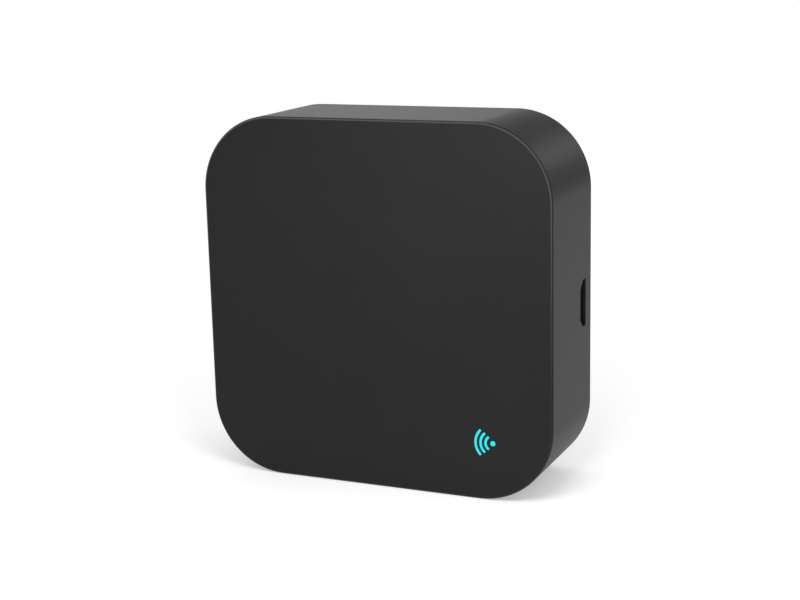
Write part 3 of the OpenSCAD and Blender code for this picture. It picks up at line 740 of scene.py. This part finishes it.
BAR_AT, BAR_HALF, BAR_END = 8, 0.5, at(19.1)
BAR_LOW, BAR_HIGH = MID_Z - 10, MID_Z + 26
stiffeners = [box(s * BAR_AT - BAR_HALF, s * BAR_AT + BAR_HALF, BAR_END, IN_PLATE, BAR_LOW, BAR_HIGH)
              for s in (-1, 1)]
COLLAR_R, COLLAR_BORE_R, COLLAR_END = 4.6, 3.7, at(18.9)
collar = lathe([(0.5, COLLAR_END), (COLLAR_R, COLLAR_END), (COLLAR_R, IN_PLATE), (0.5, IN_PLATE)],
               [0.15, 0], button_at)
carve(cover, join(hook_pair(), *stiffeners, collar), "UNION")
carve(cover, skirt, "UNION")

print("inside of the cover:", len(cover.data.polygons), "faces")

# %% [markdown]
# ### Cuts in the cover
# One cutter takes out the hole of the button with its small lead-in, the recess of the
# label and the four seats of the feet, all in one go.

# %% Hole and seats
HOLE_R = BUTTON_R + BUTTON_GAP
button_hole = lathe(
    [(0.5, at(18)), (COLLAR_BORE_R, at(18)), (COLLAR_BORE_R, COVER_FRONT), (HOLE_R, COVER_FRONT),
     (HOLE_R, COVER_BACK - 0.15), (HOLE_R + 0.2, COVER_BACK + 0.02),
     (HOLE_R + 0.2, COVER_BACK + 1), (0.5, COVER_BACK + 1)], [0, 0, 0, 0, 0, 0], button_at)
LABEL_W, LABEL_H, LABEL_UP, LABEL_DEEP = 36.0, 22.0, 4.0, 0.15
label_outline = rounded([(-LABEL_W / 2, MID_Z + LABEL_UP - LABEL_H / 2),
                         (LABEL_W / 2, MID_Z + LABEL_UP - LABEL_H / 2),
                         (LABEL_W / 2, MID_Z + LABEL_UP + LABEL_H / 2),
                         (-LABEL_W / 2, MID_Z + LABEL_UP + LABEL_H / 2)], 1.2, 8)
label_seat = prism(label_outline, COVER_BACK - LABEL_DEEP, COVER_BACK + 1)
foot_seats = [lathe([(0.5, COVER_BACK - 1), (FOOT_R + 0.05, COVER_BACK - 1),
                     (FOOT_R + 0.05, COVER_BACK + 1), (0.5, COVER_BACK + 1)], [0, 0], c)
              for c in feet_at.values()]
carve(cover, join(label_seat, button_hole, *foot_seats), "DIFFERENCE")
settle(cover)
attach(cover, CASE)
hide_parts("back_cover")
print("cover moulding:", len(cover.data.polygons), "faces")

# %% [markdown]
# ## Feet
# Each foot is a turned disc of rubber with a soft rim and a slightly hollow face, as
# moulded rubber shrinks in the middle.

# %% Feet
FOOT_PROUD, FOOT_HOLLOW = 0.8, 0.12
foot_back = BACK + FOOT_PROUD
for name, centre in feet_at.items():
    foot = piece(name.replace("rubber_foot", "foot_pad"), lathe(
        [(0.5, COVER_BACK - 1), (FOOT_R, COVER_BACK - 1), (FOOT_R, foot_back),
         (FOOT_R - 1.2, foot_back), (FOOT_R - 2.2, foot_back - FOOT_HOLLOW),
         (0.4, foot_back - FOOT_HOLLOW)], [0.2, 0.4, 0.3, 0.4], centre, 20), foot_rubber)
    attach(foot, CASE)
    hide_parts(name)
print("feet at", {k: np.round(v, 1).tolist() for k, v in feet_at.items()})

# %% [markdown]
# ## The reset button
# The button is turned as well: a nub that meets the switch, a flange that keeps it behind
# the cover, and a dished cap. It is the one piece made here that rides the moving body.

# %% Reset button
nub_front, cap_back = button_low[1], button_high[1]
FLANGE_R, NUB_R = button_high[0], 1.2
FLANGE_GAP, FLANGE_T = 0.02, 0.58
DISH_R, DISH_DEEP = 1.75, 0.12
flange_back = COVER_FRONT - FLANGE_GAP
flange_front = flange_back - FLANGE_T
button = piece("reset_cap", lathe(
    [(0.3, nub_front), (NUB_R, nub_front), (NUB_R, flange_front), (FLANGE_R, flange_front),
     (FLANGE_R, flange_back), (BUTTON_R, flange_back), (BUTTON_R, cap_back),
     (DISH_R, cap_back), (1.2, cap_back - DISH_DEEP), (0.25, cap_back - 0.14)],
    [0.12, 0, 0.1, 0.1, 0, 0.3, 0.3, 0.5], button_at, 16), button_plastic)
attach(button, KEY)
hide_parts("reset_button")
print("button cap radius", BUTTON_R)

# %% [markdown]
# ## The power socket
# Behind the slot sits a small socket of folded sheet steel, the same flat hexagon as the
# slot. Its sheet is thin, so the mouth is rounded over. Four small tabs hold it on the
# board.

# %% Socket shell
SHEET = 0.3
SOCKET_H, SOCKET_FRONT, SOCKET_BACK = 7.5, BOARD_BACK, BOARD_BACK + 2.5
rear_x, mouth_x = socket_low[0], socket_high[0]


def socket_outline(grow):
    """Outside of the socket, moved outwards by grow."""
    return slot_outline(grow, SOCKET_H, SOCKET_FRONT, SOCKET_BACK, 1.0, 0.3)


half_turn = np.linspace(0, np.pi, 9)
mouth = [(-SHEET / 2 * (1 - np.cos(t)), mouth_x - SHEET / 2 * (1 - np.sin(t)))
         for t in half_turn]
socket = piece("socket_shell", along_x(
    socket_outline, [(-0.12, rear_x), (0, rear_x + 0.12)] + mouth + [(-SHEET, rear_x + SHEET)]),
    socket_steel)
TAB_L, TAB_W, TAB_STEP = 1.1, 1.6, 1.6
TAB_X, TAB_Z = mouth_x - 4.5, 3.7
socket_tabs = [box(TAB_X + k * TAB_STEP, TAB_X + k * TAB_STEP + TAB_L,
                   BOARD_BACK, BOARD_BACK + SHEET, SOCKET_Z + s * TAB_Z - TAB_W / 2,
                   SOCKET_Z + s * TAB_Z + TAB_W / 2, 0.2) for k in (0, 1) for s in (-1, 1)]
carve(socket, join(*socket_tabs), "UNION")
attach(socket, CASE)
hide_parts("usb_shell")
print("socket mouth at x", round(mouth_x, 2), "mm")

# %% [markdown]
# ### Tongue and contacts
# A block of black plastic fills the back of the socket, and its tongue stands in the
# middle of the mouth. Five gilt contacts lie on the tongue.

# %% Tongue and contacts
tongue_low, tongue_high = span("usb_tongue")
TONGUE_H, TONGUE_FRONT, TONGUE_BACK = 4.4, BOARD_BACK + 1.15, BOARD_BACK + 1.7
block_x = tongue_low[0] + 1.2


def tongue_outline(grow):
    """Outline of the tongue, moved outwards by grow."""
    return slot_outline(grow, TONGUE_H, TONGUE_FRONT, TONGUE_BACK, 0.1, 0.03)


def block_outline(grow):
    """Inside of the socket less a hair, moved outwards by grow."""
    return slot_outline(grow - SHEET - 0.005, SOCKET_H, SOCKET_FRONT, SOCKET_BACK, 1.0, 0.15)


tongue = piece("socket_tongue", join(
    along_x(block_outline, [(0, tongue_low[0]), (0, block_x - 0.05), (-0.05, block_x)]),
    along_x(tongue_outline, [(0, block_x - 0.3), (0, tongue_high[0] - 0.25),
                             (-0.09, tongue_high[0])])), socket_plastic)
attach(tongue, CASE)
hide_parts("usb_tongue")

contact_low, contact_high = span("usb_contacts")
CONTACTS, PITCH, CONTACT_W = 5, 0.65, 0.36


def contact(z):
    """Rounded strip whose outline lies in the plane of the board, pressed to its edge."""
    x0, x1 = contact_low[0], contact_high[0]
    outline = rounded([(x0, z - CONTACT_W / 2), (x1, z - CONTACT_W / 2),
                       (x1, z + CONTACT_W / 2), (x0, z + CONTACT_W / 2)], 0.15, 4)
    return prism(outline, contact_low[1], contact_high[1])


contacts = piece("socket_contacts", join(
    *[contact(SOCKET_Z + (k - CONTACTS // 2) * PITCH) for k in range(CONTACTS)]), gold_plate)
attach(contacts, CASE)
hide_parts("usb_contacts")
print("contacts:", CONTACTS, "at", PITCH, "mm")

# %% [markdown]
# ## Finishes inside the case
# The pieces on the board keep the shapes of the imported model, and each slot of the record
# gets a finish of its own here. Tin, steel and aluminium are metals with a fine grain,
# drawn out along sheets, wires and the can,
# and packages are epoxy with the fine grain of its filler.

# %% Packages and metals
INNER = {
    "sleeve_rubber": dict(dark="#3a3a3d", light="#434347", rough=0.7, grain=0.2, relief=0.01),
    "switch_plastic": dict(dark="#19191b", light="#222225", rough=0.5, cloud=1.5),
    "sheet_steel": dict(dark="#9a9da1", light="#b4b7ba", rough=0.32, grain=0.1, relief=0.002,
                        cloud=2.0, stretch=(0.15, 1, 1), Metallic=1.0),
    "spring_steel": dict(dark="#b9b7b0", light="#cfcdc6", rough=0.22, grain=0.08,
                         relief=0.001, cloud=1.0, Metallic=1.0),
    "screw_steel": dict(dark="#5b5c60", light="#74767a", rough=0.35, grain=0.12,
                        relief=0.003, cloud=1.2, Metallic=1.0),
    "solder": dict(dark="#b3b6b9", light="#cdd0d2", rough=0.28, grain=0.25, relief=0.006,
                   cloud=0.8, Metallic=1.0),
    "tinned_wire": dict(dark="#b5b7b9", light="#c9cbcd", rough=0.3, grain=0.1, relief=0.002,
                        cloud=1.5, stretch=(1, 0.15, 1), Metallic=1.0),
    "can_aluminium": dict(dark="#b8bbbf", light="#c8cbce", rough=0.34, grain=0.15,
                          relief=0.002, cloud=2.0, stretch=(1, 0.1, 1), Metallic=1.0),
    "receiver_epoxy": dict(dark="#141318", light="#1d1b22", rough=0.16, grain=0.4,
                           relief=0.002, cloud=1.5, Coat_Weight=0.4),
    "chip_epoxy": dict(dark="#1b1b1c", light="#262627", rough=0.55, grain=0.12,
                       relief=0.006, cloud=1.0),
    "fuse_laminate": dict(dark="#2c5b3a", light="#377047", rough=0.4, cloud=0.6),
    "resistor_glaze": dict(dark="#16161a", light="#1f1f25", rough=0.3, cloud=0.6),
    "capacitor_ceramic": dict(dark="#8a6b4a", light="#a08059", rough=0.45, grain=0.08,
                              cloud=0.5),
}
inner_finish = {name: moulded(name, **numbers) for name, numbers in INNER.items()}
inner_finish["gold_plate"] = gold_plate
inner_finish["socket_plastic"] = socket_plastic
print("metals and packages:", len(inner_finish))

# %% [markdown]
# ### Boards and lenses
# A board shows the weave of its glass cloth under the solder mask, as waves that cross.
# The emitters and the status light are tinted clear resin. At the end every node that
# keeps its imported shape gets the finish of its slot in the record.

# %% Boards and lenses
WEAVE_SCALE = 314.0


def laminate(name, dark, light):
    """Solder mask over glass cloth: relief = sin(x / p) * sin(z / p) of crossed threads."""
    made = Finish(name)
    threads = []
    for axis in ("X", "Z"):
        wave = made.add("ShaderNodeTexWave", Vector=made.place, Scale=WEAVE_SCALE,
                        Distortion=0.4)
        wave.bands_direction = axis
        threads.append(wave.outputs["Fac"])
    weave = made.add("ShaderNodeMath")
    weave.operation = "MULTIPLY"
    for socket, thread in zip(weave.inputs, threads):
        made.feed(socket, thread)
    tone = made.mix(made.between(made.noise(6.0, 3.0), 0, 1), srgb(dark), srgb(light))
    made.set(Base_Color=tone, Roughness=made.between(made.noise(0.8), 0.3, 0.4),
             Normal=made.bump(weave.outputs[0], 0.004), Coat_Weight=0.3, Coat_Roughness=0.2)
    return made.material


def clear_epoxy(name, tint, light, share):
    """Tinted clear resin: light passes, and the tint wanders a little through the body."""
    made = Finish(name)
    flow = made.between(made.noise(1.5, 2.0), 0, 1)
    made.set(Base_Color=made.mix(flow, srgb(tint), srgb(light)), Roughness=0.08, IOR=1.53,
             Transmission_Weight=share, Normal=made.bump(made.noise(0.5), 0.002))
    return made.material


inner_finish["board_mask"] = laminate("board_mask", "#123a24", "#17462c")
inner_finish["module_mask"] = laminate("module_mask", "#101d33", "#15253f")
inner_finish["emitter_epoxy"] = clear_epoxy("emitter_epoxy", "#4d5f86", "#5c6f96", 0.7)
inner_finish["status_lens"] = clear_epoxy("status_lens", "#dff0ef", "#eef8f7", 0.4)
bare = [part for part in frame["record"]["subparts"] if part["material_slot"] in inner_finish]
for part in bare:
    dressed = nodes[part["node"]].data.materials
    dressed.clear()
    dressed.append(inner_finish[part["material_slot"]])
print("nodes of the packed model with a finish:", len(bare))

# %% [markdown]
# ## Studio
# The stage is a wide pale floor under an even white sky, as in a light tent. Black
# plastic shows mostly what it reflects, so the sky is seen by glossy rays as well as by
# the camera, while the light that falls on surfaces comes at a plain level.

# %% Floor
FLOOR_R, FLOOR_STEPS = 3000.0, 96
FLOOR_TOP, FLOOR_UNDER = -0.02, -60.0
floor_ring = np.linspace(0, 2 * np.pi, FLOOR_STEPS, endpoint=False)
floor_flat = FLOOR_R * np.stack([np.cos(floor_ring), np.sin(floor_ring)], axis=1)
floor_rings = np.stack([np.concatenate([floor_flat, np.full((FLOOR_STEPS, 1), z)], axis=1)
                        for z in (FLOOR_UNDER, FLOOR_TOP)])
floor = piece("studio_floor", skin(floor_rings))

paper = Finish("floor_paper")
SHOWS = ("Is Camera Ray", "Is Glossy Ray", "Is Transmission Ray")


def seen(made):
    """1 for rays from the camera, a gloss or a clear surface, 0 for light that falls."""
    path = made.nodes.new("ShaderNodeLightPath")
    total = None
    for socket in SHOWS:
        value = path.outputs[socket]
        if total is None:
            total = value
            continue
        node = made.nodes.new("ShaderNodeMath")
        node.operation = "MAXIMUM"
        made.links.new(total, node.inputs[0])
        made.links.new(value, node.inputs[1])
        total = node.outputs[0]
    return total


PAPER_GLOW = 0.36
paper.set(Base_Color=(0.8, 0.8, 0.8, 1), Roughness=0.9, Specular_IOR_Level=0.1,
          Emission_Color=(1, 1, 1, 1))
glow = paper.add("ShaderNodeMath")
glow.operation = "MULTIPLY"
paper.feed(glow.inputs[0], seen(paper.tree))
glow.inputs[1].default_value = PAPER_GLOW
paper.set(Emission_Strength=glow.outputs[0])
floor.data.materials.append(paper.material)
print("floor", FLOOR_R / 1000, "m in radius")

# %% [markdown]
# ### Sky
# The tent is an even white. A ray that shows a picture of it finds full white, and the
# light that it throws on surfaces is a little weaker.

# %% Sky
world = bpy.data.worlds.new("light_tent")
world.use_nodes = True
sky = world.node_tree
sky_shader = sky.nodes["Background"]
SKY_LIGHT = 0.8
strength = sky.nodes.new("ShaderNodeMapRange")
sky.links.new(seen(sky), strength.inputs["Value"])
strength.inputs["To Min"].default_value = SKY_LIGHT
strength.inputs["To Max"].default_value = 1.0
sky.links.new(strength.outputs[0], sky_shader.inputs["Strength"])
sky_shader.inputs["Color"].default_value = (1, 1, 1, 1)
bpy.context.scene.world = world
bpy.context.scene.view_settings.view_transform = "Standard"
print("sky lights surfaces at", SKY_LIGHT)


# %% [markdown]
# ### Lamps
# One small lamp near the face lifts its upper part, and two softboxes far behind draw
# the light along the top and round the right corner. The face lamp isn't mirrored in
# gloss, so that it leaves no spot on the plastic.

# %% Lamps
MIDDLE = (0, 0, 33)


def facing(place, target):
    """Axes x, y, z of a square that stands upright at place, with z away from the target:
    z = (place - target) / |place - target|, x = up x z made unit, y = z x x."""
    away = np.asarray(place, float) - np.asarray(target, float)
    z = away / np.linalg.norm(away)
    x = np.cross([0, 0, 1.0], z)
    x /= np.linalg.norm(x)
    return x, np.cross(z, x), z


def softbox(name, place, width, watts, target=MIDDLE, mirrored=True):
    """Square area lamp at a place in mm that faces the target, mirrored in gloss or not."""
    data = bpy.data.lights.new(name, "AREA")
    data.size = width * MM
    data.energy = watts
    lamp = bpy.data.objects.new(name, data)
    stand = np.eye(4)
    stand[:3, :3] = np.stack(facing(place, target), axis=1)
    stand[:3, 3] = np.asarray(place) * MM
    lamp.matrix_world = Matrix(stand.tolist())
    lamp.visible_camera = False
    lamp.visible_glossy = mirrored
    bpy.context.scene.collection.objects.link(lamp)


softbox("face_softbox", (30, -62, 76), 40, 0.045, (10, -11, 58), mirrored=False)
softbox("left_back_softbox", (-200, 460, 135), 300, 0.11)
softbox("right_back_softbox", (150, 430, 205), 120, 0.04)

# %% [markdown]
# ### Dark cards
# Black cards stand behind the box, hidden from the camera. Gloss sees them in place of
# the white tent, which darkens the top, the right side and the round corner between them.

# %% Dark cards
black_paper = moulded("black_paper", "#060606", "#0a0a0a", 0.9, cloud=40.0, grain=2.0,
                      Specular_IOR_Level=0.0)


def dark_card(name, place, width):
    """Flat square that faces the middle of the box, seen by glossy and clear rays only."""
    x, y, z = facing(place, MIDDLE)
    h = width / 2
    flat = np.array([-h * x - h * y, h * x - h * y, h * x + h * y, -h * x + h * y])
    card = piece(name, skin(np.stack([flat + place, flat + place + z])), black_paper)
    card.visible_camera = False
    card.visible_diffuse = False
    card.visible_shadow = False


CARDS = {"card_above_back": ((25, 300, 310), 300), "card_low_right": ((250, 500, 60), 180),
         "card_right": ((350, 300, 100), 150)}
for name, (place, width) in CARDS.items():
    dark_card(name, place, width)
print("cards:", list(CARDS))
